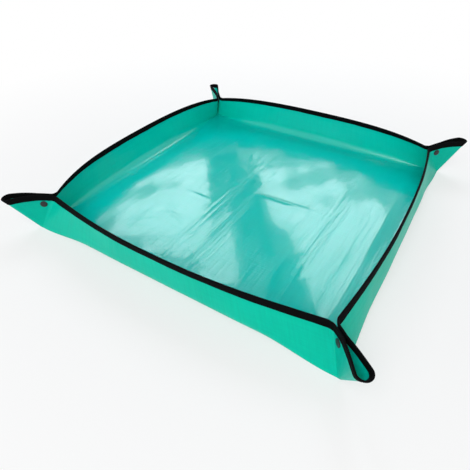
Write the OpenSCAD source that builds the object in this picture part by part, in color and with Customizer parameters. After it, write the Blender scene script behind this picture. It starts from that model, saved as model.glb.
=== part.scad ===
/* [Sheet] */
// Side of the square sheet when it lies flat
mat_side = 750; // [640:5:900]
// Flat width of each raised side, from its fold to the edge
side_h = 72; // [64:1:82]
// Thickness of the laminated sheet
sheet_t = 0.8; // [0.6:0.1:1]
// Gap left on each side of a fold line, so that the panels can swing
fold_gap = 1.2; // [1.1:0.1:1.6]

/* [Raised sides] */
// Angle of the front side at its middle, from flat on the ground
front_lean = 89; // [78:1:98]
// Angle of the right side at its middle
right_lean = 98; // [78:1:100]
// Angle of the back side at its middle
back_lean = 84; // [78:1:98]
// Angle of the left side at its middle
left_lean = 77; // [74:1:98]
// Angle of every side at its corners, where the snaps pull it in
lean_end = 115; // [110:1:118]
// How sharply the pull of the snaps fades towards the middle
lean_fade = 2.3; // [1.8:0.1:3]

/* [Corner ears] */
// Distance between the two layers of sheet at a closed snap
snap_gap = 4.6; // [4.4:0.1:5.4]
// Half the width of the loop at the end of an ear
loop_r = 10.5; // [8:0.5:13]
// How far the end of an ear stands out from the base corner, along the diagonal
ear_reach = 45; // [40:1:52]
// Height of the end of an ear
ear_tip_z = 73; // [68:1:80]
// Rise of an ear's edge between its pinch and its end
ear_hump = 5; // [0:0.5:8]
// Length of the edge that the snap holds flat
ear_flat = 30; // [28:1:34]
// Half the length over which the edge bends round at the pinch
pinch_soft = 10; // [4:1:10]
// Hole left at the point of an ear, where its folds meet
ear_apex = 5; // [4:0.5:8]
// Distance of each half of an ear from the diagonal plane, at the bottom of its end
ear_foot_side = 2; // [1.9:0.1:2.4]
// Gap between the two halves of an ear, along the diagonal of the sheet
ear_split = 1; // [0.8:0.1:1.6]

/* [Binding tape] */
// Visible width of the folded tape on each face
tape_w = 10; // [8:0.5:13]
// Thickness of one layer of the tape
tape_t = 0.7; // [0.5:0.1:0.8]

/* [Snap fasteners] */
// Distance from the pinch to the snap, along the edge
snap_along = 18; // [17:0.5:19]
// Distance of the snap below the edge
snap_drop = 19; // [17.5:0.5:22]
// Diameter of the cap on the outer face
cap_d = 12.4; // [11:0.2:12.8]
// Thickness of the cap at its rim
cap_rim_t = 0.9; // [0.7:0.1:1.2]
// Height of the cap's dome above its rim
cap_dome = 0.8; // [0.4:0.1:1.2]
// Diameter of the shank that passes through the sheet
shank_d = 2.6; // [2:0.1:3]
// Outer diameter of the socket
socket_d = 10.2; // [9.4:0.2:11]
// Height of the socket
socket_h = 3.3; // [3:0.1:3.4]
// Diameter of the stud's flange
stud_flange_d = 10.6; // [9.6:0.2:11]
// Wall of the stud's knob round the shank
knob_wall = 0.4; // [0.3:0.05:0.5]
// How far the knob's lip stands out from its neck
knob_lip = 0.2; // [0.1:0.05:0.3]
// Height of the stud's knob above its flange
knob_h = 1.9; // [1.6:0.1:2]
// Thickness of the closed end of the knob
knob_end = 0.6; // [0.4:0.1:0.8]
// Room between the knob and the bottom of the socket's mouth
knob_end_gap = 0.3; // [0.2:0.05:0.4]
// Room round the knob, so that it can tilt out of the socket
knob_play = 0.9; // [0.8:0.1:1]
// Gap between the closed faces of the stud and the socket
snap_face_gap = 0.25; // [0.2:0.05:0.35]
// Clearance round the shank in the sheet and in the part pressed on to it
shank_fit = 0.1; // [0.05:0.05:0.2]
// Chamfer on the edges of the socket and the stud
snap_chamfer = 0.4; // [0.2:0.1:0.6]

/* [Hidden] */
$fn = 48;

sheet_green = [0.0, 0.75, 0.64];
tape_black = [0.03, 0.03, 0.035];
snap_black = [0.05, 0.05, 0.055];

// Half the width of the base between its folds
base_half = mat_side / 2 - side_h;
// Height of the fold lines, in the middle of the sheet
fold_z = sheet_t / 2;
// Lateral distance of each layer's middle from the corner's diagonal plane
ear_side = snap_gap / 2 + sheet_t / 2;
// Distance that the sides stop short of the base corner, to leave that lateral distance
corner_short = ear_side * sqrt(2);
// Place of the pinch along the edge, its distance in from the fold and its height
pinch_in = -side_h * cos(lean_end);
pinch_x = base_half - corner_short - pinch_in;
pinch_z = fold_z + side_h * sin(lean_end);
// Point where the folds of the front side and of its right ear meet
ear_point = [base_half - corner_short, -base_half, fold_z];

// Directions at the front right corner: out along the diagonal, and out from the front half's outer face
diagonal = [1, -1, 0] / sqrt(2);
outward = [-1, -1, 0] / sqrt(2);
up = [0, 0, 1];

// The ear's edge in its own plane, from the pinch towards the end of the ear
pinch = [pinch_x, -base_half + pinch_in, pinch_z];
pinch_reach = (pinch - [base_half, -base_half, 0]) * diagonal;
ear_run = [ear_reach - pinch_reach, ear_tip_z - pinch_z];
ear_len = norm(ear_run);
ear_dir = (ear_run[0] * diagonal + ear_run[1] * up) / ear_len;
loop_mid = ear_len - loop_r;
flare_run = loop_mid - ear_flat;
flare = asin(loop_r / norm([flare_run, ear_side])) - atan(ear_side / flare_run);
flare_len = sqrt(flare_run * flare_run + ear_side * ear_side - loop_r * loop_r);
loop_turn = 90 + flare - asin(ear_split / 2 / loop_r);
loop_len = loop_r * loop_turn * PI / 180;

// Edge of a raised side at x along it, for the side's lean at its middle
side_leans = [front_lean, right_lean, back_lean, left_lean];
function lean_at(x, lean) = lean + (lean_end - lean) * pow(min(1, abs(x) / pinch_x), lean_fade);
function side_edge(x, lean) =
    [x, -base_half - side_h * cos(lean_at(x, lean)), fold_z + side_h * sin(lean_at(x, lean))];

// Edge of the ear at a length a past the pinch: straight at the snap, then flaring, then round its end
function loop_angle(a) = (a - ear_flat - flare_len) / loop_r * 180 / PI;
function ear_run_at(a) =
    a <= ear_flat ? a
    : a <= ear_flat + flare_len ? ear_flat + (a - ear_flat) * cos(flare)
    : loop_mid - loop_r * sin(flare - loop_angle(a));
function ear_width_at(a) =
    a <= ear_flat ? ear_side
    : a <= ear_flat + flare_len ? ear_side + (a - ear_flat) * sin(flare)
    : loop_r * cos(flare - loop_angle(a));
function ear_edge(a) =
    pinch + ear_run_at(a) * ear_dir + (ear_width_at(a) - ear_side) * outward
    + ear_hump * sin(180 * ear_run_at(a) / ear_len) * up;

// The whole edge from the middle of a side. The sheet's stiffness eases the bend at the pinch: each point
// is the mean of points around it, and the spread of those fades to nothing at ease_reach from the pinch
ease_reach = 3 * pinch_soft;
ease_steps = 3;
function sharp_edge(s, lean) = s <= pinch_x ? side_edge(s, lean) : ear_edge(s - pinch_x);
function softness(s) = pinch_soft * max(0, 1 - abs(s - pinch_x) / ease_reach);
function mean(points, i = 0) =
    i == len(points) ? [0, 0, 0] : points[i] / len(points) + mean(points, i + 1);
function edge_right(s, lean) =
    mean([for (k = [-ease_steps:ease_steps]) sharp_edge(s + k / ease_steps * softness(s), lean)]);
function edge(s, lean) = let (e = edge_right(abs(s), lean)) [s < 0 ? -e[0] : e[0], e[1], e[2]];

// The foot of the edge: along the fold, then at the ear's point, and round the loop in to the corner
ear_corner = [base_half, -base_half, fold_z] + ear_foot_side * outward;
function loop_share(s) = max(0, min(1, (s - pinch_x - ear_flat) / (flare_len + loop_len)));
function foot(s) =
    s > pinch_x ? ear_point + loop_share(s) * (ear_corner - ear_point)
    : [s * ear_point[0] / pinch_x, -base_half, fold_z];

// A point of the sheet: s along the edge, m down from the edge and h in from the middle of the sheet
slope_step = pinch_soft / 20;
function unit(v) = v / norm(v);
function fall(s, lean) = unit(foot(s) - edge(s, lean));
function normal(s, lean) =
    unit(cross(edge(s + slope_step, lean) - edge(s - slope_step, lean), foot(s) - edge(s, lean)));
function sheet_point(s, m, h, lean) = edge(s, lean) + m * fall(s, lean) + h * normal(s, lean);
function sheet_fall(s, lean) = norm(foot(s) - edge(s, lean));

// Stations along a side, closer together near its corners, and along an ear
side_steps = 14;
side_stations = [for (i = [-side_steps:side_steps]) (pinch_x - fold_gap) * sin(90 * i / side_steps)];
bend_stations = [for (i = [0:4]) pinch_x + fold_gap + (pinch_soft - fold_gap) * i / 4];
flat_stations = [for (i = [1:2]) pinch_x + pinch_soft + (ear_flat - pinch_soft) * i / 2];
flare_stations = [for (i = [1:3]) pinch_x + ear_flat + flare_len * i / 3];
loop_stations = [for (i = [1:6]) pinch_x + ear_flat + flare_len + loop_len * i / 6];
ear_stations = concat(bend_stations, flat_stations, flare_stations, loop_stations);

// A solid swept through rings of points and closed by quads at both ends; drops holds how far down the
// sheet each point of a ring lies, so that the facets of both faces fold along the same diagonals
module swept(rings, drops, caps) {
    m = len(rings[0]);
    n = len(rings);
    sides = [
        for (i = [0:n - 2], j = [0:m - 1])
            let (a = i * m + j, b = i * m + (j + 1) % m, c = a + m, d = b + m)
                each drops[(j + 1) % m] > drops[j] ? [[a, b, c], [b, d, c]] : [[a, b, d], [a, d, c]]
    ];
    first = [for (q = caps) each [[q[2], q[1], q[0]], [q[3], q[2], q[0]]]];
    last = [for (t = first) [t[2], t[1], t[0]] + (n - 1) * m * [1, 1, 1]];
    polyhedron(points = [for (r = rings) each r], faces = concat(sides, first, last));
}

// A panel of the sheet through the stations, stopping short of its foot; its rows start at the edge,
// and the second one lies under the edge of the tape
panel_rows = 4;
module panel(stations, short, lean) {
    t = sheet_t / 2;
    rows = [for (k = [0:panel_rows]) k];
    back_rows = [for (k = [0:panel_rows]) panel_rows - k];
    swept(
        [for (s = stations)
            let (low = sheet_fall(s, lean) - short, step = (low - tape_w) / (panel_rows - 1))
            concat(
                [for (k = rows) sheet_point(s, k == 0 ? 0 : tape_w + (k - 1) * step, t, lean)],
                [for (k = back_rows) sheet_point(s, k == 0 ? 0 : tape_w + (k - 1) * step, -t, lean)]
            )
        ],
        concat(rows, back_rows),
        [for (k = [0:panel_rows - 1]) [k, k + 1, 2 * panel_rows - k, 2 * panel_rows + 1 - k]]
    );
}

// Tape folded over the edge of the sheet, from face to face
module tape(stations, lean) {
    t = sheet_t / 2;
    o = t + tape_t;
    section = [
        [0, t], [0, -t], [tape_w, -t], [tape_w, -o],
        [-tape_t, -o], [-tape_t, o], [tape_w, o], [tape_w, t]
    ];
    swept(
        [for (s = stations) [for (p = section) sheet_point(s, p[0], p[1], lean)]],
        [for (p = section) p[0]],
        [[1, 2, 3, 4], [0, 1, 4, 5], [0, 5, 6, 7]]
    );
}

// The four sides are the front one turned about the middle: 0 front, 1 right, 2 back, 3 left
module at_side(turn) rotate([0, 0, 90 * turn]) children();

// The ear at the right or the left end of a side
module at_end(turn, right) at_side(turn) mirror([right ? 0 : 1, 0, 0]) children();

// The snap's axis points out of the ear's outer face; its zero is the middle of the corner
snap_mid = sheet_point(pinch_x + snap_along, snap_drop, 0, front_lean) - ear_side * outward;
module at_snap(turn, right) at_end(turn, right) translate(snap_mid) rotate([0, 0, 225]) rotate([0, 90, 0])
    children();

module base_panel() {
    w = 2 * (base_half - fold_gap);
    color(sheet_green) translate([-w / 2, -w / 2, 0]) cube([w, w, sheet_t]);
}

module side_panel(turn) {
    color(sheet_green) at_side(turn) panel(side_stations, fold_gap, side_leans[turn]);
}

module ear_panel(turn, right) {
    color(sheet_green) difference() {
        at_end(turn, right) panel(ear_stations, ear_apex, side_leans[turn]);
        at_snap(turn, right)
            translate([0, 0, ear_side - sheet_t]) cylinder(h = 2 * sheet_t, d = shank_hole_d);
    }
}

module side_tape(turn) {
    color(tape_black) at_side(turn) tape(side_stations, side_leans[turn]);
}

module ear_tape(turn, right) {
    color(tape_black) at_end(turn, right) tape(ear_stations, side_leans[turn]);
}

// Places along the snap's axis: faces of the sheet, of the socket and of the stud, and ends of the shanks
sheet_out = ear_side + sheet_t / 2;
sheet_in = ear_side - sheet_t / 2;
socket_face = sheet_in - socket_h;
stud_face = snap_face_gap - socket_face;
knob_end_z = stud_face - knob_h;
mouth_bottom = knob_end_gap - knob_end_z;
stud_shank_end = knob_end_z + knob_end;

// Radii of the stud's knob and of the socket's mouth, and the bore for the shank
neck_r = shank_d / 2 + shank_fit + knob_wall;
knob_r = neck_r + knob_lip;
mouth_r = knob_r + knob_play;
shank_hole_d = shank_d + 2 * shank_fit;
lip_h = knob_h / 4;

// The cap's dome is turned in two slopes, each a share of its width and height
shoulder_d = 0.8 * cap_d;
crown_d = 0.4 * cap_d;
shoulder_h = 0.6 * cap_dome;

// Domed cap on the outer face, with the shank that holds the socket or the stud
module snap_cap(turn, right, shank_end) {
    color(snap_black) at_snap(turn, right) {
        translate([0, 0, shank_end]) cylinder(h = sheet_out - shank_end + cap_rim_t / 2, d = shank_d);
        translate([0, 0, sheet_out]) {
            cylinder(h = cap_rim_t, d = cap_d);
            translate([0, 0, cap_rim_t]) cylinder(h = shoulder_h, d1 = cap_d, d2 = shoulder_d);
            translate([0, 0, cap_rim_t + shoulder_h])
                cylinder(h = cap_dome - shoulder_h, d1 = shoulder_d, d2 = crown_d);
        }
    }
}

// A disc against the inner face, with a chamfer round its front face
module snap_disc(face, d) {
    translate([0, 0, face]) cylinder(h = snap_chamfer, d1 = d - 2 * snap_chamfer, d2 = d);
    translate([0, 0, face + snap_chamfer]) cylinder(h = sheet_in - face - snap_chamfer, d = d);
}

// Socket with its open mouth, pressed on to the cap's shank
module snap_socket(turn, right) {
    color(snap_black) at_snap(turn, right) difference() {
        snap_disc(socket_face, socket_d);
        translate([0, 0, socket_face - socket_h])
            cylinder(h = socket_h + mouth_bottom - socket_face, r = mouth_r);
        translate([0, 0, socket_face]) cylinder(h = 2 * socket_h, d = shank_hole_d);
        translate([0, 0, socket_face - snap_chamfer])
            cylinder(h = 2 * snap_chamfer, r1 = mouth_r + 2 * snap_chamfer, r2 = mouth_r);
    }
}

// Stud with its lipped knob, pressed on to the back cap's shank
module snap_stud(turn, right) {
    color(snap_black) at_snap(turn, right) difference() {
        union() {
            snap_disc(stud_face, stud_flange_d);
            translate([0, 0, knob_end_z]) cylinder(h = knob_h + snap_chamfer, r = neck_r);
            translate([0, 0, knob_end_z]) cylinder(h = lip_h, r1 = neck_r, r2 = knob_r);
            translate([0, 0, knob_end_z + lip_h]) cylinder(h = lip_h, r1 = knob_r, r2 = neck_r);
        }
        translate([0, 0, stud_shank_end]) cylinder(h = 2 * socket_h, d = shank_hole_d);
    }
}

base_panel();
side_panel(0);  // front_side
side_panel(1);  // right_side
side_panel(2);  // back_side
side_panel(3);  // left_side

ear_panel(0, false);  // front_left_ear_front
ear_panel(3, true);  // front_left_ear_left
ear_panel(0, true);  // front_right_ear_front
ear_panel(1, false);  // front_right_ear_right
ear_panel(1, true);  // back_right_ear_right
ear_panel(2, false);  // back_right_ear_back
ear_panel(2, true);  // back_left_ear_back
ear_panel(3, false);  // back_left_ear_left

side_tape(0);  // front_tape
side_tape(1);  // right_tape
side_tape(2);  // back_tape
side_tape(3);  // left_tape

ear_tape(0, false);  // front_left_tape_front
ear_tape(3, true);  // front_left_tape_left
ear_tape(0, true);  // front_right_tape_front
ear_tape(1, false);  // front_right_tape_right
ear_tape(1, true);  // back_right_tape_right
ear_tape(2, false);  // back_right_tape_back
ear_tape(2, true);  // back_left_tape_back
ear_tape(3, false);  // back_left_tape_left

snap_cap(0, false, mouth_bottom);  // front_left_cap
snap_socket(0, false);  // front_left_socket
snap_stud(3, true);  // front_left_stud
snap_cap(3, true, stud_shank_end);  // front_left_back_cap

snap_cap(0, true, mouth_bottom);  // front_right_cap
snap_socket(0, true);  // front_right_socket
snap_stud(1, false);  // front_right_stud
snap_cap(1, false, stud_shank_end);  // front_right_back_cap

snap_cap(2, false, mouth_bottom);  // back_right_cap
snap_socket(2, false);  // back_right_socket
snap_stud(1, true);  // back_right_stud
snap_cap(1, true, stud_shank_end);  // back_right_back_cap

snap_cap(2, true, mouth_bottom);  // back_left_cap
snap_socket(2, true);  // back_left_socket
snap_stud(3, false);  // back_left_stud
snap_cap(3, false, stud_shank_end);  // back_left_back_cap
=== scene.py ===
"""Looks of the potting tray: one laminated sheet with a taped edge, its corners pinched up by snaps."""

import math

import bmesh
import bpy
import numpy as np
from mathutils import Matrix, Vector


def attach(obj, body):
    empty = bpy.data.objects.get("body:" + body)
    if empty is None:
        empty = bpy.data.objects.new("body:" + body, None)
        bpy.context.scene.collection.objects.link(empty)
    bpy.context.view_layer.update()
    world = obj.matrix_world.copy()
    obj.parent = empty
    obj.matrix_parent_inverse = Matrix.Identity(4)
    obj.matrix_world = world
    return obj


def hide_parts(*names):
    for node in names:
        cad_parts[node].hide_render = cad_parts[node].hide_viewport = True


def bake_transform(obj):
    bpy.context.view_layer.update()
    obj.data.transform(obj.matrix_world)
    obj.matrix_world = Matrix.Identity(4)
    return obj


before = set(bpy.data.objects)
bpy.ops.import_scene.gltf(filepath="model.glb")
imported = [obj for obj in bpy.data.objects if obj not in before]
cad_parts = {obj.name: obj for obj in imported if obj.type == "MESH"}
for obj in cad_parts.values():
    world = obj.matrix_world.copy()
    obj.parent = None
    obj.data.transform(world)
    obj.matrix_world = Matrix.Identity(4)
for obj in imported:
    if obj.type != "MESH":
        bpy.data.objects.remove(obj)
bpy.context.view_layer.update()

# Sizes of the sheet in millimetres, the same as in the part's source
MM = 0.001
MAT_SIDE = 750.0
SIDE_H = 72.0
SHEET_T = 0.8
SIDE_LEANS = [89.0, 98.0, 84.0, 77.0]
LEAN_END = 115.0
LEAN_FADE = 2.3
SNAP_GAP = 4.6
LOOP_R = 10.5
EAR_REACH = 45.0
EAR_TIP_Z = 73.0
EAR_HUMP = 5.0
EAR_FLAT = 30.0
PINCH_SOFT = 10.0
TAPE_W = 10.0
TAPE_T = 0.7

SIDES = ["front", "right", "back", "left"]
BASE_HALF = MAT_SIDE / 2 - SIDE_H
FOLD_Z = SHEET_T / 2
EAR_SIDE = SNAP_GAP / 2 + SHEET_T / 2
CORNER_SHORT = EAR_SIDE * math.sqrt(2)
PINCH_IN = -SIDE_H * math.cos(math.radians(LEAN_END))
PINCH_X = BASE_HALF - CORNER_SHORT - PINCH_IN
PINCH_Z = FOLD_Z + SIDE_H * math.sin(math.radians(LEAN_END))
EAR_POINT = np.array([BASE_HALF - CORNER_SHORT, -BASE_HALF, FOLD_Z])
BASE_CORNER = np.array([BASE_HALF, -BASE_HALF, FOLD_Z])
DIAGONAL = np.array([1.0, -1.0, 0.0]) / math.sqrt(2)
OUTWARD = np.array([-1.0, -1.0, 0.0]) / math.sqrt(2)
UP = np.array([0.0, 0.0, 1.0])

# The ear's edge in its own plane: flat at the snap, then flaring, then round the loop
PINCH = np.array([PINCH_X, -BASE_HALF + PINCH_IN, PINCH_Z])
EAR_RUN = np.array([EAR_REACH - (PINCH - BASE_CORNER) @ DIAGONAL, EAR_TIP_Z - PINCH_Z])
EAR_LEN = float(np.hypot(*EAR_RUN))
EAR_DIR = (EAR_RUN[0] * DIAGONAL + EAR_RUN[1] * UP) / EAR_LEN
LOOP_MID = EAR_LEN - LOOP_R
FLARE_RUN = LOOP_MID - EAR_FLAT
FLARE = math.asin(LOOP_R / math.hypot(FLARE_RUN, EAR_SIDE)) - math.atan(EAR_SIDE / FLARE_RUN)
FLARE_LEN = math.sqrt(FLARE_RUN**2 + EAR_SIDE**2 - LOOP_R**2)
LOOP_LEN = LOOP_R * (math.pi / 2 + FLARE)
EDGE_END = PINCH_X + EAR_FLAT + FLARE_LEN + LOOP_LEN

# Where the side's piece of sheet ends and the ear's begins
SPLIT = PINCH_X - PINCH_SOFT

# How far the edge is eased on each side of the pinch, and in how many steps
EASE_REACH = 3 * PINCH_SOFT
EASE_STEPS = 6

# How far the curve of a side's fold reaches: in the middle, at its ends, and over what length it narrows.
# FOLD_TURN is the curve's length for each unit of its reach, FOLD_LEAD the flat strip that joins the base
FOLD_SOFT = 20.0
FOLD_TIGHT = 0.25
FOLD_NARROWS = 110
FOLD_TURN = 1.7
FOLD_LEAD = 1.5

# How far an ear's soft fold reaches on each side of the line from the base corner to the pinch
EAR_FOLD_SOFT = 8


def side_edge(x, lean):
    """Edge of a side at x along its fold: it leans more towards the corners."""
    a = np.radians(lean + (LEAN_END - lean) * np.minimum(1, np.abs(x) / PINCH_X) ** LEAN_FADE)
    return np.stack([x, -BASE_HALF - SIDE_H * np.cos(a), FOLD_Z + SIDE_H * np.sin(a)], -1)


def ear_edge(a):
    """Edge of an ear at a length a from the pinch: flat, then flaring, then round the loop."""
    turn = (a - EAR_FLAT - FLARE_LEN) / LOOP_R
    on_flat, on_flare = a <= EAR_FLAT, a <= EAR_FLAT + FLARE_LEN
    flare_run = EAR_FLAT + (a - EAR_FLAT) * math.cos(FLARE)
    flare_width = EAR_SIDE + (a - EAR_FLAT) * math.sin(FLARE)
    run = np.where(on_flare, flare_run, LOOP_MID - LOOP_R * np.sin(FLARE - turn))
    run = np.where(on_flat, a, run)
    width = np.where(on_flare, flare_width, LOOP_R * np.cos(FLARE - turn))
    width = np.where(on_flat, EAR_SIDE, width)
    hump = EAR_HUMP * np.sin(np.pi * run / EAR_LEN)
    return PINCH + run[..., None] * EAR_DIR + (width - EAR_SIDE)[..., None] * OUTWARD + hump[..., None] * UP


def edge(s, lean):
    """Edge of the sheet at a length s from the middle of a side, eased at the pinch."""
    a = np.abs(s)
    soft = PINCH_SOFT * np.maximum(0, 1 - np.abs(a - PINCH_X) / EASE_REACH)
    total = 0
    for k in range(-EASE_STEPS, EASE_STEPS + 1):
        at = a + k / EASE_STEPS * soft
        total = total + np.where((at <= PINCH_X)[..., None], side_edge(at, lean), ear_edge(at - PINCH_X))
    p = total / (2 * EASE_STEPS + 1)
    p[..., 0] *= np.where(s < 0, -1, 1)
    return p


def foot(s):
    """Foot of the edge: along the fold, then at the ear's point, then round the loop in to the corner."""
    on_fold = np.stack([s * EAR_POINT[0] / PINCH_X, np.full_like(s, -BASE_HALF), np.full_like(s, FOLD_Z)], -1)
    share = np.clip((s - PINCH_X - EAR_FLAT) / (FLARE_LEN + LOOP_LEN), 0, 1.2)[..., None]
    return np.where((s > PINCH_X)[..., None], EAR_POINT + share * (BASE_CORNER - EAR_POINT), on_fold)


def fold_soft(x):
    """How far the curve of a fold reaches on each side of it: less near the corners."""
    t = np.clip((SPLIT * EAR_POINT[0] / PINCH_X - np.abs(x)) / FOLD_NARROWS, 0, 1)
    return FOLD_TIGHT + (FOLD_SOFT - FOLD_TIGHT) * t * t * (3 - 2 * t)


def unit(v):
    return v / np.linalg.norm(v, axis=-1, keepdims=True)


def ripple(s, m):
    """Slow waves that the sheet keeps in its raised sides, nearly still at the tape and at the fold."""
    reach = np.sin(np.pi * np.clip(m / SIDE_H, 0, 1))
    still = np.clip((PINCH_X - np.abs(s)) / 60, 0, 1)
    waves = 0.45 * np.sin(s / 31 + 0.6)
    waves = waves + 0.35 * np.sin(s / 17.3 + m / 40 + 2.1)
    waves = waves + 0.25 * np.sin(s / 53 - m / 21)
    return waves * reach * still


def plain_sheet(s, m, lean):
    """Middle of the sheet without its waves: straight down from the edge, round the fold, then flat."""
    top, low = edge(s, lean), foot(s)
    fall = np.linalg.norm(top - low, axis=-1)
    up = (top - low) / fall[..., None]
    soft = np.where(np.abs(s) <= SPLIT + 0.2, fold_soft(low[..., 0]), 0.02)
    past = m - (fall - soft)
    turn = FOLD_TURN * soft
    q = np.clip(past / turn, 0, 1)[..., None]
    inward = np.array([0.0, 1.0, 0.0])
    start, end = low + up * soft[..., None], low + inward * soft[..., None]
    curve = (1 - q) ** 2 * start + 2 * q * (1 - q) * low + q * q * end
    straight = low + up * (fall - m)[..., None]
    base = end + inward * (past - turn)[..., None]
    return np.where((past <= 0)[..., None], straight, np.where((past >= turn)[..., None], base, curve))


def side_normal(surface, s, m, lean):
    """Which way a surface faces inside the tray, from points a small step apart."""
    step = 0.04
    along = surface(s + step, m, lean) - surface(s - step, m, lean)
    down = surface(s, m + step, lean) - surface(s, m - step, lean)
    return unit(np.cross(along, down))


def waved_sheet(s, m, lean):
    """Middle of the sheet at s along its edge and m down from it, round the fold and on to the base."""
    return plain_sheet(s, m, lean) + side_normal(plain_sheet, s, m, lean) * ripple(s, m)[..., None]


def sheet_at(s, m, h, lean):
    """A point of the sheet or of what lies on it: h is inwards from the sheet's middle."""
    n = side_normal(waved_sheet, s, m, lean)
    return waved_sheet(s, m, lean) + n * np.asarray(h)[..., None]


def fall_at(s, lean):
    return np.linalg.norm(edge(s, lean) - foot(s), axis=-1)


def turned(points, turn, right=True):
    """From the front side's right end to any other end: mirrored for left ends, then turned round."""
    p = np.array(points, float)
    if not right:
        p[..., 0] *= -1
    c, s = [(1, 0), (0, 1), (-1, 0), (0, -1)][turn]
    return np.stack([c * p[..., 0] - s * p[..., 1], s * p[..., 0] + c * p[..., 1], p[..., 2]], -1)


def make_mesh(name, verts, quads, uv, materials, slots=None):
    """An object from points in millimetres, quads of point numbers and a flat place for each point."""
    mesh = bpy.data.meshes.new(name)
    mesh.from_pydata((np.asarray(verts) * MM).tolist(), [], np.asarray(quads).tolist())
    for material in materials:
        mesh.materials.append(material)
    if slots is not None:
        mesh.polygons.foreach_set("material_index", np.asarray(slots, np.int32))
    layer = mesh.uv_layers.new(name="flat_place")
    corner = np.zeros(len(mesh.loops), np.int32)
    mesh.loops.foreach_get("vertex_index", corner)
    layer.data.foreach_set("uv", (np.asarray(uv)[corner] * MM).astype(np.float32).ravel())
    mesh.polygons.foreach_set("use_smooth", np.ones(len(mesh.polygons), bool))
    mesh.update()
    obj = bpy.data.objects.new(name, mesh)
    bpy.context.scene.collection.objects.link(obj)
    return obj


def grid_quads(rows, cols, start=0):
    """Quads between the points of a grid, numbered row by row from start."""
    i, j = np.meshgrid(np.arange(rows - 1), np.arange(cols - 1), indexing="ij")
    a = (start + i * cols + j).ravel()
    return np.stack([a, a + 1, a + cols + 1, a + cols], 1)


def border(rows, cols):
    """Point numbers round the outside of a grid, in order."""
    top = np.arange(cols)
    right = np.arange(1, rows) * cols + cols - 1
    bottom = (rows - 1) * cols + np.arange(cols - 2, -1, -1)
    left = np.arange(rows - 2, 0, -1) * cols
    return np.concatenate([top, right, bottom, left])


def sheet_piece(name, middle, normal, flat, flipped, materials):
    """A piece of the laminated sheet from a grid of its middle: shiny film inside, satin film outside."""
    rows, cols = middle.shape[:2]
    n = rows * cols
    inside = (middle + normal * SHEET_T / 2).reshape(-1, 3)
    outside = (middle - normal * SHEET_T / 2).reshape(-1, 3)
    face = grid_quads(rows, cols)
    rim = border(rows, cols)
    nxt = np.roll(rim, -1)
    sides = np.stack([rim, nxt, nxt + n, rim + n], 1)
    back = grid_quads(rows, cols, n)[:, ::-1]
    quads = np.concatenate([face[:, ::-1], back[:, ::-1], sides])
    if flipped:
        quads = quads[:, ::-1]
    slots = np.concatenate([np.zeros(len(face)), np.ones(len(back) + len(sides))])
    uv = np.concatenate([flat.reshape(-1, 2)] * 2)
    obj = make_mesh(name, np.concatenate([inside, outside]), quads, uv, materials, slots)
    obj.data.set_sharp_from_angle(angle=math.radians(60))
    return obj


# Materials


def node_group(name, inputs, outputs):
    """An empty shader group with named inputs and outputs."""
    group = bpy.data.node_groups.new(name, "ShaderNodeTree")
    for label, kind, value in inputs:
        socket = group.interface.new_socket(label, in_out="INPUT", socket_type="NodeSocket" + kind)
        if value is not None:
            socket.default_value = value
    for label, kind in outputs:
        group.interface.new_socket(label, in_out="OUTPUT", socket_type="NodeSocket" + kind)
    return group, group.nodes.new("NodeGroupInput"), group.nodes.new("NodeGroupOutput")


def maths(tree, what, a, b=None, c=None, clamp=False):
    node = tree.nodes.new("ShaderNodeMath")
    node.operation = what
    node.use_clamp = clamp
    for k, value in enumerate((a, b, c)):
        if value is None:
            continue
        if isinstance(value, (int, float)):
            node.inputs[k].default_value = value
        else:
            tree.links.new(value, node.inputs[k])
    return node.outputs[0]


def noise(tree, place, scale, detail=2.0, rough=0.5):
    node = tree.nodes.new("ShaderNodeTexNoise")
    node.inputs["Scale"].default_value = scale
    node.inputs["Detail"].default_value = detail
    node.inputs["Roughness"].default_value = rough
    tree.links.new(place, node.inputs["Vector"])
    return node.outputs["Fac"]


def stretched(tree, place, scale, turn=0.0):
    node = tree.nodes.new("ShaderNodeMapping")
    node.inputs["Scale"].default_value = scale
    node.inputs["Rotation"].default_value = (0, 0, turn)
    tree.links.new(place, node.inputs["Vector"])
    return node.outputs[0]


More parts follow.
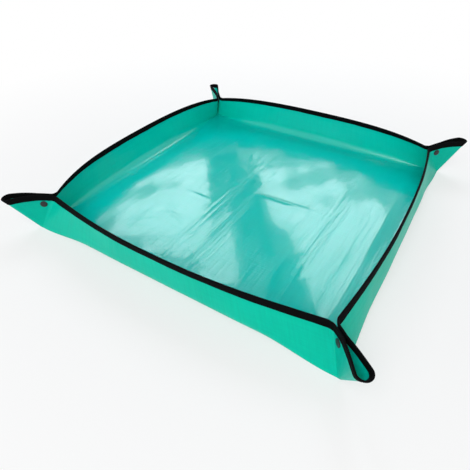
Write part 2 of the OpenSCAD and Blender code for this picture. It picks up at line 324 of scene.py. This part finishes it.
def film_group():
    """Marks in the sheet's film: threads of the woven core, creases both ways, dents, and scuffs."""
    group, given, out = node_group(
        "film_marks",
        [("Place", "Vector", None), ("Tightness", "Float", 0.0)]
        + [(label, "Float", 0.5) for label in ("Core", "Streaks", "Creases", "Dents", "Scuffs")],
        [(label, "Float") for label in ("Height", "Dulling", "Gloss", "Shade")],
    )
    place = given.outputs["Place"]
    # the core's threads, uneven along both ways of the weave
    warp = noise(group, stretched(group, place, (330, 16, 1)), 1.0, 3.0, 0.7)
    weft = noise(group, stretched(group, place, (16, 330, 1)), 1.0, 3.0, 0.7)
    core = maths(group, "ADD", warp, maths(group, "MULTIPLY", weft, 0.8))
    # bundles of tight threads draw long fine streaks down the sheet, stronger in some places
    strands = noise(group, stretched(group, place, (190, 2.4, 1)), 1.0, 3.0, 0.6)
    bundles = noise(group, stretched(group, place, (11, 2.5, 1)), 1.0, 1.0)
    bundles = maths(group, "SUBTRACT", bundles, 0.42, clamp=True)
    bundles = maths(group, "MULTIPLY", bundles, 2.2, clamp=True)
    bundles = maths(group, "ADD", bundles, given.outputs["Tightness"])
    streaks = maths(group, "MULTIPLY", maths(group, "MULTIPLY", strands, bundles), 0.8)
    # creases run with the threads, a few millimetres wide and a hand long
    down = noise(group, stretched(group, place, (42, 3.5, 1)), 1.0, 2.0, 0.5)
    over = noise(group, stretched(group, place, (5.5, 38, 1)), 1.0, 2.0, 0.5)
    creases = maths(group, "ADD", maths(group, "MULTIPLY", down, 0.8), maths(group, "MULTIPLY", over, 0.4))
    dents = noise(group, place, 30, 3.0, 0.5)
    height = maths(group, "MULTIPLY", maths(group, "MULTIPLY", core, 0.1), given.outputs["Core"])
    height = maths(group, "ADD", height, maths(group, "MULTIPLY", streaks, given.outputs["Streaks"]))
    height = maths(group, "ADD", height, maths(group, "MULTIPLY", creases, given.outputs["Creases"]))
    height = maths(group, "ADD", height, maths(group, "MULTIPLY", dents, given.outputs["Dents"]))
    group.links.new(height, out.inputs["Height"])
    scuff = noise(group, stretched(group, place, (60, 9, 1), 0.9), 1.0, 5.0, 0.7)
    scuff = maths(group, "SUBTRACT", scuff, 0.45, clamp=True)
    dulling = maths(group, "MULTIPLY", scuff, given.outputs["Scuffs"])
    group.links.new(dulling, out.inputs["Dulling"])
    # the film is thinner and less glossy over threads that stand out
    proud = maths(group, "MULTIPLY", maths(group, "SUBTRACT", core, 0.9), given.outputs["Core"])
    drawn = maths(group, "MULTIPLY", maths(group, "SUBTRACT", strands, 0.5), bundles)
    drawn = maths(group, "MULTIPLY", drawn, given.outputs["Streaks"])
    thin = maths(group, "ADD", maths(group, "MULTIPLY", proud, 2.2), maths(group, "MULTIPLY", drawn, 7.0))
    group.links.new(maths(group, "SUBTRACT", 0.86, thin, clamp=True), out.inputs["Gloss"])
    tone = noise(group, place, 9, 2.0)
    shade = maths(group, "MULTIPLY_ADD", maths(group, "SUBTRACT", tone, 0.5), 0.14, 1.0)
    group.links.new(maths(group, "MULTIPLY_ADD", proud, -0.16, shade), out.inputs["Shade"])
    return group


def weave_group():
    """Woven tape: threads across and along, with a slightly uneven beat."""
    group, given, out = node_group(
        "tape_weave",
        [("Place", "Vector", None), ("Thread width", "Float", 0.0006)],
        [("Height", "Float"), ("Shade", "Float")],
    )
    parts = group.nodes.new("ShaderNodeSeparateXYZ")
    group.links.new(given.outputs["Place"], parts.inputs[0])
    pace = maths(group, "DIVIDE", math.pi, given.outputs["Thread width"])
    across = maths(group, "SINE", maths(group, "MULTIPLY", parts.outputs[0], pace))
    along = maths(group, "SINE", maths(group, "MULTIPLY", parts.outputs[1], pace))
    over = maths(group, "MULTIPLY", across, along)
    uneven = noise(group, given.outputs["Place"], 700, 2.0)
    height = maths(group, "ADD", maths(group, "MULTIPLY", over, 0.5), maths(group, "MULTIPLY", uneven, 0.6))
    group.links.new(height, out.inputs["Height"])
    shade = maths(group, "MULTIPLY_ADD", over, 0.22, maths(group, "MULTIPLY_ADD", uneven, 0.5, 0.7))
    group.links.new(shade, out.inputs["Shade"])
    return group


FILM = film_group()
WEAVE = weave_group()
PLASTIC_IOR = 1.5


def new_material(name, rough, colour):
    material = bpy.data.materials.new(name)
    material.use_nodes = True
    tree = material.node_tree
    shader = tree.nodes["Principled BSDF"]
    shader.inputs["Roughness"].default_value = rough
    shader.inputs["Base Color"].default_value = (*colour, 1)
    shader.inputs["IOR"].default_value = PLASTIC_IOR
    return material, tree, shader


def placed(tree, by="UV"):
    node = tree.nodes.new("ShaderNodeTexCoord")
    return node.outputs[by]


def bump(tree, shader, height, distance):
    node = tree.nodes.new("ShaderNodeBump")
    node.inputs["Distance"].default_value = distance
    tree.links.new(height, node.inputs["Height"])
    tree.links.new(node.outputs["Normal"], shader.inputs["Normal"])


def shaded(tree, shader, colour, shade):
    node = tree.nodes.new("ShaderNodeMix")
    node.data_type = "RGBA"
    node.blend_type = "MULTIPLY"
    node.inputs["Factor"].default_value = 1.0
    node.inputs["A"].default_value = (*colour, 1)
    grey = tree.nodes.new("ShaderNodeCombineColor")
    for k in range(3):
        tree.links.new(shade, grey.inputs[k])
    tree.links.new(grey.outputs[0], node.inputs["B"])
    tree.links.new(node.outputs["Result"], shader.inputs["Base Color"])


def sheet_film(name, colour, rough, shine, gloss, depth, marks):
    """The laminated film: its marks, its gloss, and the light that comes through the thin sheet."""
    material, tree, shader = new_material(name, rough, colour)
    shader.inputs["Specular IOR Level"].default_value = shine
    shader.inputs["Subsurface Weight"].default_value = 0.8
    shader.inputs["Subsurface Radius"].default_value = (0.05, 1.0, 0.8)
    shader.inputs["Subsurface Scale"].default_value = 0.0024
    film = tree.nodes.new("ShaderNodeGroup")
    film.node_tree = FILM
    tree.links.new(placed(tree), film.inputs["Place"])
    tight = tree.nodes.new("ShaderNodeAttribute")
    tight.attribute_name = "tightness"
    tree.links.new(tight.outputs["Fac"], film.inputs["Tightness"])
    for label, strength in marks.items():
        film.inputs[label].default_value = strength
    shaded(tree, shader, colour, film.outputs["Shade"])
    bump(tree, shader, film.outputs["Height"], depth)
    tree.links.new(maths(tree, "ADD", film.outputs["Dulling"], rough), shader.inputs["Roughness"])
    if gloss > 0:
        tree.links.new(maths(tree, "MULTIPLY", film.outputs["Gloss"], gloss), shader.inputs["Coat Weight"])
        shader.inputs["Coat Roughness"].default_value = 0.07
    return material


def woven_tape(name, colour, thread, rough):
    """Dull woven binding, or the twisted sewing thread when its threads are finer."""
    material, tree, shader = new_material(name, rough, colour)
    weave = tree.nodes.new("ShaderNodeGroup")
    weave.node_tree = WEAVE
    tree.links.new(placed(tree), weave.inputs["Place"])
    weave.inputs["Thread width"].default_value = thread
    shaded(tree, shader, colour, weave.outputs["Shade"])
    bump(tree, shader, weave.outputs["Height"], 0.00012)
    shader.inputs["Specular IOR Level"].default_value = 0.05
    return material


def moulded_plastic(name, colour, rough):
    """Plain moulded plastic with a fine grain and slightly uneven gloss."""
    material, tree, shader = new_material(name, rough, colour)
    place = placed(tree, "Object")
    grain = noise(tree, place, 2600, 2.0)
    bump(tree, shader, grain, 0.00002)
    patch = noise(tree, place, 240, 2.0)
    shaded(tree, shader, colour, maths(tree, "MULTIPLY_ADD", patch, 0.4, 0.8))
    tree.links.new(maths(tree, "MULTIPLY_ADD", patch, 0.14, rough - 0.07), shader.inputs["Roughness"])
    return material


glossy_inside = sheet_film(
    "glossy_film_inside", (0.0, 0.60, 0.53), rough=0.1, shine=0.24, gloss=0.45, depth=0.00144,
    marks={"Core": 1.3, "Streaks": 1.0, "Creases": 0.3, "Dents": 0.2, "Scuffs": 0.3},
)
satin_outside = sheet_film(
    "satin_film_outside", (0.0, 0.58, 0.43), rough=0.36, shine=0.1, gloss=0.0, depth=0.0012,
    marks={"Core": 1.4, "Streaks": 0.5, "Creases": 0.3, "Dents": 0.35, "Scuffs": 0.5},
)
black_tape = woven_tape("woven_black_tape", (0.003, 0.003, 0.0034), thread=0.0006, rough=0.85)
black_thread = woven_tape("black_sewing_thread", (0.008, 0.008, 0.009), thread=0.0002, rough=0.6)
snap_plastic = moulded_plastic("moulded_black_snap", (0.006, 0.006, 0.0065), rough=0.36)
SHEET_FILMS = [glossy_inside, satin_outside]

# The sheet


def ridge(at, centre, width, height):
    return height * np.exp(-(((at - centre) / width) ** 2))


def between(v, low, high, soft=25):
    return 1 / (1 + np.exp(-(v - low) / soft)) / (1 + np.exp((v - high) / soft))


def base_tightness(x, y):
    """Where the threads of the bottom are drawn tight, from 0 to 1: long bundles from front to back."""
    t = ridge(x, -47, 15, 1.0) * between(y, -250, 115)
    t += ridge(x, -5, 9, 0.8) * between(y, -240, 100)
    t += ridge(x, 172, 14, 1.0) * between(y, -230, 120)
    t += ridge(x, 225, 30, 0.6) * between(y, -250, 60)
    return t


def base_relief(x, y):
    """Creases left in the bottom from packing and use: soft ridges, always upwards, in millimetres."""
    z = ridge(x, -52 + 2 * np.sin(y / 90), 4, 0.5) * between(y, -240, 110)
    z += ridge(x, -41 + 1.5 * np.sin(y / 75 + 1), 4, 0.4) * between(y, -230, 60)
    z += ridge(x, -8 + 2 * np.sin(y / 90), 4, 0.4) * between(y, -235, 90)
    z += ridge(x, 164 + 2 * np.sin(y / 50), 4.5, 0.6) * between(y, -210, 110)
    z += ridge(x, 179 + 3 * np.sin(y / 35 + 2), 4.5, 0.5) * between(y, -210, 100)
    z += ridge(x, 255, 8, 0.5) * between(y, -150, 120)
    z += ridge(y, 8 + x / 30, 4, 0.7) * between(x, 8, 108, 10)
    z += ridge(y, -63 - x / 40, 4, 0.7) * between(x, -125, -85, 8)
    z += ridge(y + (x + 110) * 0.4, -138, 4, 0.6) * between(x, -135, -85, 8)
    # the bottom isn't quite flat: it lifts a little off the ground in slow waves
    z += 1.6 + 0.8 * np.sin(x / 71 + 0.4) * np.cos(y / 58 + 1.2) + 0.45 * np.sin(x / 37 + y / 49)
    z += 0.22 * np.sin(x / 19 - y / 27 + 0.7) + 0.12 * np.sin(x / 11 + y / 17)
    rim = BASE_HALF - FOLD_SOFT - FOLD_LEAD
    still = np.clip((rim - np.maximum(np.abs(x), np.abs(y))) / 30, 0, 1)
    return np.maximum(z, 0) * still * still * (3 - 2 * still)


def base_short(along):
    """How far from the sharp fold line the base ends, at a place along that line."""
    soft = fold_soft(along * BASE_HALF)
    return soft + FOLD_LEAD * soft / FOLD_SOFT


def base_outline(u, v):
    """Grid place in the base for u, v from -1 to 1; its border meets the start of the sides' folds."""
    reach_x = BASE_HALF - base_short(v) * np.abs(u) ** 12
    reach_y = BASE_HALF - base_short(u) * np.abs(v) ** 12
    return u * reach_x, v * reach_y


def build_base():
    n = 205
    line = np.linspace(-1, 1, n)
    u, v = np.meshgrid(line, line)
    x, y = base_outline(u, v)
    z = FOLD_Z + base_relief(x, y)
    e = 0.5
    slope_x = (base_relief(x + e, y) - base_relief(x - e, y)) / (2 * e)
    slope_y = (base_relief(x, y + e) - base_relief(x, y - e)) / (2 * e)
    normal = unit(np.stack([-slope_x, -slope_y, np.ones_like(x)], -1))
    middle = np.stack([x, y, z], -1)
    obj = sheet_piece("sheet_base", middle, normal, np.stack([x, y], -1), False, SHEET_FILMS)
    tight = obj.data.attributes.new("tightness", "FLOAT", "POINT")
    tight.data.foreach_set("value", np.tile(base_tightness(x, y).ravel(), 2).astype(np.float32))
    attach(obj, "base")
    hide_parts("base_panel")
    return obj


DOWN_ROWS = 22
CURVE_ROWS = 10


def column_rows(s, lean):
    """How far down the sheet the rows of a side lie at each s: even to the fold, close round its curve."""
    soft = fold_soft(foot(s)[..., 0])
    straight = fall_at(s, lean) - soft
    down = [k / DOWN_ROWS * straight for k in range(DOWN_ROWS)]
    curve = [straight + FOLD_TURN * soft * k / CURVE_ROWS for k in range(CURVE_ROWS + 1)]
    lead = [curve[-1] + FOLD_LEAD * soft / FOLD_SOFT * k / 2 for k in (1, 2)]
    return np.stack(down + curve + lead)


def flat_at(s, m):
    """Place on the sheet before it was folded, as seen from the front side."""
    return np.stack([s, m - MAT_SIDE / 2], -1)


def build_side(turn):
    name, lean = SIDES[turn], SIDE_LEANS[turn]
    s = np.linspace(-SPLIT, SPLIT, 181)
    m = column_rows(s, lean)
    s = np.broadcast_to(s, m.shape)
    middle = waved_sheet(s, m, lean)
    normal = side_normal(waved_sheet, s, m, lean)
    flat = flat_at(s, m)
    flat3 = turned(np.concatenate([flat, flat[..., :1] * 0], -1), turn)
    middle, normal = turned(middle, turn), turned(normal, turn)
    obj = sheet_piece("sheet_" + name, middle, normal, flat3[..., :2], False, SHEET_FILMS)
    reach = FOLD_SOFT + FOLD_LEAD
    start = turned([0, -BASE_HALF + reach, FOLD_Z], turn) * MM
    end = turned([0, -BASE_HALF, FOLD_Z + reach], turn) * MM
    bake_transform(obj)
    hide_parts(name + "_side")
    return obj


CORNERS = {
    (0, True): "front_right", (1, False): "front_right",
    (1, True): "back_right", (2, False): "back_right",
    (2, True): "back_left", (3, False): "back_left",
    (3, True): "front_left", (0, False): "front_left",
}


def ear_stations():
    """Lengths along the edge of an ear, closer together where it bends."""
    bend_end, loop_start = PINCH_X + 9, PINCH_X + EAR_FLAT + FLARE_LEN
    bend = np.linspace(SPLIT, bend_end, 20, endpoint=False)
    flare = np.linspace(bend_end, loop_start, 16, endpoint=False)
    return np.concatenate([bend, flare, np.linspace(loop_start, EDGE_END, 15)])


def blend_ear(obj, turn, right):
    """Bakes an ear piece's placement into its points; the ends of a soft fold from the base corner to the
    pinch are worked out but not used.
    """
    lean = SIDE_LEANS[turn]
    pinch = edge(np.array([PINCH_X]), lean)[0]
    fold = unit(pinch - EAR_POINT)
    middle = (pinch + EAR_POINT) / 2
    across = np.array([1.0, 0, 0]) + DIAGONAL
    across = unit(across - (across @ fold) * fold)
    start = turned(middle - EAR_FOLD_SOFT * across, turn, right) * MM
    end = turned(middle + EAR_FOLD_SOFT * across, turn, right) * MM
    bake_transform(obj)


def build_ear(turn, right):
    side, corner, lean = SIDES[turn], CORNERS[turn, right], SIDE_LEANS[turn]
    s = ear_stations()
    rows = np.linspace(0, 1, 31)[:, None]
    m = rows * (fall_at(s, lean) - 0.05)
    s = np.broadcast_to(s, m.shape)
    middle = waved_sheet(s, m, lean)
    normal = side_normal(waved_sheet, s, m, lean)
    flat = flat_at(s, m)
    flat3 = turned(np.concatenate([flat, flat[..., :1] * 0], -1), turn, right)
    name = "sheet_%s_ear_%s" % (corner, side)
    middle, normal = turned(middle, turn, right), turned(normal, turn, right)
    obj = sheet_piece(name, middle, normal, flat3[..., :2], not right, SHEET_FILMS)
    blend_ear(obj, turn, right)
    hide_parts("%s_ear_%s" % (corner, side))
    return obj


# Tape and stitches, in millimetres
TAPE_OUT = SHEET_T / 2 + TAPE_T
STITCH_M = TAPE_W - 2.6
STITCH_PITCH = 3.4
STITCH_LENGTH = 2.7
STITCH_DIP = 0.16
THREAD_R = 0.2
# The tape is folded a little off its middle, so it is wider on the outer face; its fold springs open
TAPE_MORE_OUTSIDE = 1.2
TAPE_ROLL = 0.3


def tape_section():
    """Round the folded tape, as places down the sheet and out from it: the inner face, then the outer one."""
    half = [(TAPE_W, 0.3), (TAPE_W, 0.86), (TAPE_W - 0.15, 1.02), (TAPE_W - 0.6, TAPE_OUT)]
    half += [(STITCH_M + 0.9, TAPE_OUT), (STITCH_M, TAPE_OUT - STITCH_DIP), (STITCH_M - 0.9, TAPE_OUT)]
    half += [(m, TAPE_OUT + TAPE_ROLL * (1 - m / STITCH_M)) for m in (5.2, 3.8, 2.4, 1.2)]
    fold = TAPE_OUT + TAPE_ROLL
    half += [(0.4 - 1.1 * math.sin(a), fold * math.cos(a)) for a in np.radians([0, 22, 45, 68, 90])]
    outer = [(m + TAPE_MORE_OUTSIDE * (m > STITCH_M + 0.5), -h) for m, h in half[:-1]]
    return half + outer[::-1]


def tape_piece(name, s, turn, right, lean):
    section = np.array(tape_section())
    count = len(section)
    ss, mm = np.meshgrid(s, section[:, 0], indexing="ij")
    hh = np.broadcast_to(section[:, 1], ss.shape)
    wobble = 0.22 * np.sin(ss / 23 + turn) + 0.14 * np.sin(ss / 7.9 + 2 * turn)
    lift = 0.05 * np.sin(ss / 3.1 + turn) * (mm > 1) * np.sign(hh)
    mm = mm + wobble * (mm > STITCH_M)
    points = sheet_at(ss, mm, hh + lift, lean)
    verts = turned(points.reshape(-1, 3), turn, right)
    i, j = np.meshgrid(np.arange(len(s) - 1), np.arange(count), indexing="ij")
    a = (i * count + j).ravel()
    b = (i * count + (j + 1) % count).ravel()
    quads = np.stack([a, b, b + count, a + count], 1)
    mesh_quads = quads if right else quads[:, ::-1]
    lengths = np.concatenate([[0], np.cumsum(np.hypot(*np.diff(section, axis=0).T))])
    uv = np.stack([ss.ravel(), np.broadcast_to(lengths, ss.shape).ravel()], -1)
    obj = make_mesh(name, verts, mesh_quads, uv, [black_tape])
    close_ends(obj, count, len(s))
    return obj


def close_ends(obj, count, rings):
    """Caps the two open ends of a tube of rings."""
    bm = bmesh.new()
    bm.from_mesh(obj.data)
    bm.verts.ensure_lookup_table()
    for first in (0, (rings - 1) * count):
        try:
            bm.faces.new([bm.verts[first + k] for k in range(count)])
        except ValueError:
            pass
    bmesh.ops.recalc_face_normals(bm, faces=bm.faces)
    bm.to_mesh(obj.data)
    bm.free()
    obj.data.set_sharp_from_angle(angle=math.radians(50))


def stitches(name, low, high, turn, right, lean):
    """Lockstitches along the tape on both faces, each one a short thread that dips in at its ends."""
    n = max(1, int((high - low) / STITCH_PITCH))
    centres = low + (np.arange(n) + 0.5) * (high - low) / n
    along = np.linspace(-0.5, 0.5, 5)
    rise = np.array([-0.12, 0.1, 0.16, 0.1, -0.12])
    fat = np.array([0.55, 0.95, 1.0, 0.95, 0.55]) * THREAD_R
    corners = 6
    ring = np.radians(np.arange(corners) * 60)
    each = len(along) * corners
    verts, quads, uv = [], [], []
    for face in (1, -1):
        ss = centres[:, None] + along * STITCH_LENGTH
        slant = 0.12 * along * face
        mm = np.full_like(ss, STITCH_M) + slant
        hh = face * (TAPE_OUT - STITCH_DIP + THREAD_R * 0.5 + rise) * np.ones_like(ss)
        core = sheet_at(ss, mm, hh, lean)
        out = side_normal(waved_sheet, ss, mm, lean)
        ahead = unit(sheet_at(ss + 0.2, mm, hh, lean) - sheet_at(ss - 0.2, mm, hh, lean))
        across = unit(np.cross(out, ahead))
        around = np.cos(ring)[:, None] * across[:, :, None] + np.sin(ring)[:, None] * out[:, :, None]
        points = core[:, :, None] + around * fat[:, None, None]
        start = sum(len(v) for v in verts)
        verts.append(points.reshape(-1, 3))
        first = start + np.arange(n)[:, None] * each
        rows = first[:, :, None] + np.arange(len(along) - 1)[:, None] * corners
        a = rows + np.arange(corners)
        b = rows + (np.arange(corners) + 1) % corners
        quads.append(np.stack([a, b, b + corners, a + corners], -1).reshape(-1, 4))
        for k in (0, len(along) - 1):
            cap = first + k * corners
            quads.append(cap + np.array([0, 1, 2, 3]))
            quads.append(cap + np.array([0, 3, 4, 5]))
        uv.append(np.stack([points[..., 0], points[..., 2]], -1).reshape(-1, 2))
    verts = turned(np.concatenate(verts), turn, right)
    return make_mesh(name, verts, np.concatenate(quads), np.concatenate(uv), [black_thread])


def bind_side(turn):
    name, lean = SIDES[turn], SIDE_LEANS[turn]
    tape = tape_piece("tape_" + name, np.linspace(-SPLIT, SPLIT, 271), turn, True, lean)
    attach(tape, name)
    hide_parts(name + "_tape")
    sewn = stitches("stitches_" + name, -SPLIT, SPLIT, turn, True, lean)
    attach(sewn, name)
    return [tape, sewn]


def bind_ear(turn, right):
    side, corner, lean = SIDES[turn], CORNERS[turn, right], SIDE_LEANS[turn]
    tape = tape_piece("tape_%s_ear_%s" % (corner, side), ear_stations(), turn, right, lean)
    blend_ear(tape, turn, right)
    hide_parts("%s_tape_%s" % (corner, side))
    sewn = stitches("stitches_%s_ear_%s" % (corner, side), SPLIT, EDGE_END - 1, turn, right, lean)
    blend_ear(sewn, turn, right)
    return [tape, sewn]


base_sheet = build_base()
for turn in range(4):
    side_sheet = build_side(turn)
    bind_side(turn)
for turn, right in sorted(CORNERS):
    ear_sheet = build_ear(turn, right)
    bind_ear(turn, right)

for name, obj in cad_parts.items():
    if name.endswith(("_cap", "_socket", "_stud")):
        obj.data.materials.clear()
        obj.data.materials.append(snap_plastic)

# Floor, light and camera


def straight_or_mirrored(tree):
    """1 for what the camera sees straight on, mirrored or through glass, and 0 for light on the tray."""
    path = tree.nodes.new("ShaderNodeLightPath")
    seen = maths(tree, "ADD", path.outputs["Is Camera Ray"], path.outputs["Is Glossy Ray"], clamp=True)
    return maths(tree, "ADD", seen, path.outputs["Is Transmission Ray"], clamp=True)


def flat_piece(name, half_long, half_wide, z, material):
    """A plain rectangle that belongs to the stage."""
    signs = [(-1, -1), (1, -1), (1, 1), (-1, 1)]
    mesh = bpy.data.meshes.new(name)
    mesh.from_pydata([(x * half_long, y * half_wide, z) for x, y in signs], [], [(0, 1, 2, 3)])
    mesh.materials.append(material)
    obj = bpy.data.objects.new(name, mesh)
    bpy.context.scene.collection.objects.link(obj)
    return obj


def pale_floor():
    """A pale floor that keeps the tray's shadow and runs out to plain white away from it."""
    material, tree, shader = new_material("pale_floor", 0.9, (0.93, 0.93, 0.93))
    shader.inputs["Specular IOR Level"].default_value = 0.0
    size = tree.nodes.new("ShaderNodeVectorMath")
    size.operation = "LENGTH"
    tree.links.new(placed(tree, "Object"), size.inputs[0])
    far = maths(tree, "DIVIDE", maths(tree, "SUBTRACT", size.outputs["Value"], 0.35), 0.75, clamp=True)
    far = maths(tree, "MULTIPLY_ADD", far, 0.45, 0.55)
    white = tree.nodes.new("ShaderNodeEmission")
    mix = tree.nodes.new("ShaderNodeMixShader")
    tree.links.new(maths(tree, "MULTIPLY", far, straight_or_mirrored(tree)), mix.inputs[0])
    tree.links.new(shader.outputs[0], mix.inputs[1])
    tree.links.new(white.outputs[0], mix.inputs[2])
    tree.links.new(mix.outputs[0], tree.nodes["Material Output"].inputs["Surface"])
    flat_piece("floor", 9, 9, -0.0002, material)


def window_bar():
    """A dark bar under the window lamp, which breaks its reflection in the tray's bottom in two."""
    material = new_material("dull_bar", 1.0, (0.05, 0.06, 0.06))[0]
    bar = flat_piece("window_bar", 2.0, 0.25, 0, material)
    bar.location = (-1.09, 1.91, 1.88)
    bar.rotation_euler = (0, 0, math.radians(-45))
    bar.visible_camera = False
    bar.visible_diffuse = False


def softbox(name, place, target, width, height, radiance, tint=(1.0, 1.0, 1.0)):
    """A soft lamp given by its size and the brightness of its face."""
    lamp = bpy.data.lights.new(name, "AREA")
    lamp.shape = "RECTANGLE"
    lamp.size, lamp.size_y = width, height
    lamp.energy = radiance * math.pi * width * height
    lamp.color = tint
    obj = bpy.data.objects.new(name, lamp)
    obj.location = place
    away = (Vector(place) - Vector(target)).normalized()
    obj.rotation_euler = away.to_track_quat("Z", "Y").to_euler()
    bpy.context.scene.collection.objects.link(obj)
    return obj


def plain_sky(level):
    """Even light from all round; seen straight on or mirrored it is white."""
    world = bpy.data.worlds.new("studio")
    bpy.context.scene.world = world
    world.use_nodes = True
    tree = world.node_tree
    light = tree.nodes["Background"]
    light.inputs["Color"].default_value = (level, level, level, 1)
    seen = tree.nodes.new("ShaderNodeBackground")
    seen.inputs["Color"].default_value = (1, 1, 1, 1)
    mix = tree.nodes.new("ShaderNodeMixShader")
    tree.links.new(straight_or_mirrored(tree), mix.inputs[0])
    tree.links.new(light.outputs[0], mix.inputs[1])
    tree.links.new(seen.outputs[0], mix.inputs[2])
    tree.links.new(mix.outputs[0], tree.nodes["World Output"].inputs[0])


def photo_camera():
    """Camera at the photo's place, for a square picture."""
    azimuth, elevation, roll = (math.radians(a) for a in (32.710, 40.285, -0.771))
    towards = Vector((math.sin(azimuth), -math.cos(azimuth), 0))
    back = towards * math.cos(elevation) + Vector((0, 0, math.sin(elevation)))
    level = Vector((math.cos(azimuth), math.sin(azimuth), 0))
    above = back.cross(level)
    right = level * math.cos(roll) + above * math.sin(roll)
    top = above * math.cos(roll) - level * math.sin(roll)
    camera = bpy.data.cameras.new("camera")
    camera.sensor_width = 36
    camera.lens = 30.30
    camera.clip_start, camera.clip_end = 0.01, 60
    obj = bpy.data.objects.new("camera", camera)
    turn = Matrix((right, top, back)).transposed().to_4x4()
    obj.matrix_world = Matrix.Translation((0.33512, -0.60343, 0.47840)) @ turn
    bpy.context.scene.collection.objects.link(obj)
    bpy.context.scene.camera = obj


pale_floor()
window_bar()
plain_sky(0.3)
softbox("window_softbox", (-1.17, 2.08, 1.91), (-1.17, 2.08, 0), 2.4, 1.75, 5.4, (0.92, 1.0, 1.08))
softbox("front_softbox", (0.5, -2.1, 2.3), (0, 0, 0), 2.2, 2.2, 3.6)
photo_camera()
bpy.context.scene.view_settings.view_transform = "Standard"
